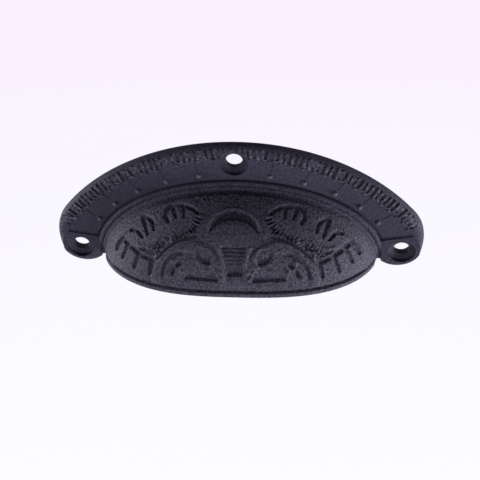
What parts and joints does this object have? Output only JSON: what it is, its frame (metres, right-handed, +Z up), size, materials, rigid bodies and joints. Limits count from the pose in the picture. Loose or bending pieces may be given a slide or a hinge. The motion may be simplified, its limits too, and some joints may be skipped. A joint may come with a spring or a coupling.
{
  "type": "cup pull",
  "caption": "Cast cup pull for a drawer: an arched flange with eared ends carries a hooded cup, open below for the fingers, with incised ornament and countersunk screw holes.",
  "frame": {"origin": "midway between the two ear screws, in the plane of the back face", "axes": "+X across the drawer, +Y out of the back face into the drawer front, +Z up, away from the open side of the cup"},
  "size_m": [0.1, 0.0187, 0.0412],
  "materials": {
    "black_iron": "matte black coating over a sand-cast skin"
  },
  "bodies": {
    "root": {"cup_pull": "black_iron"}
  },
  "joints": []
}
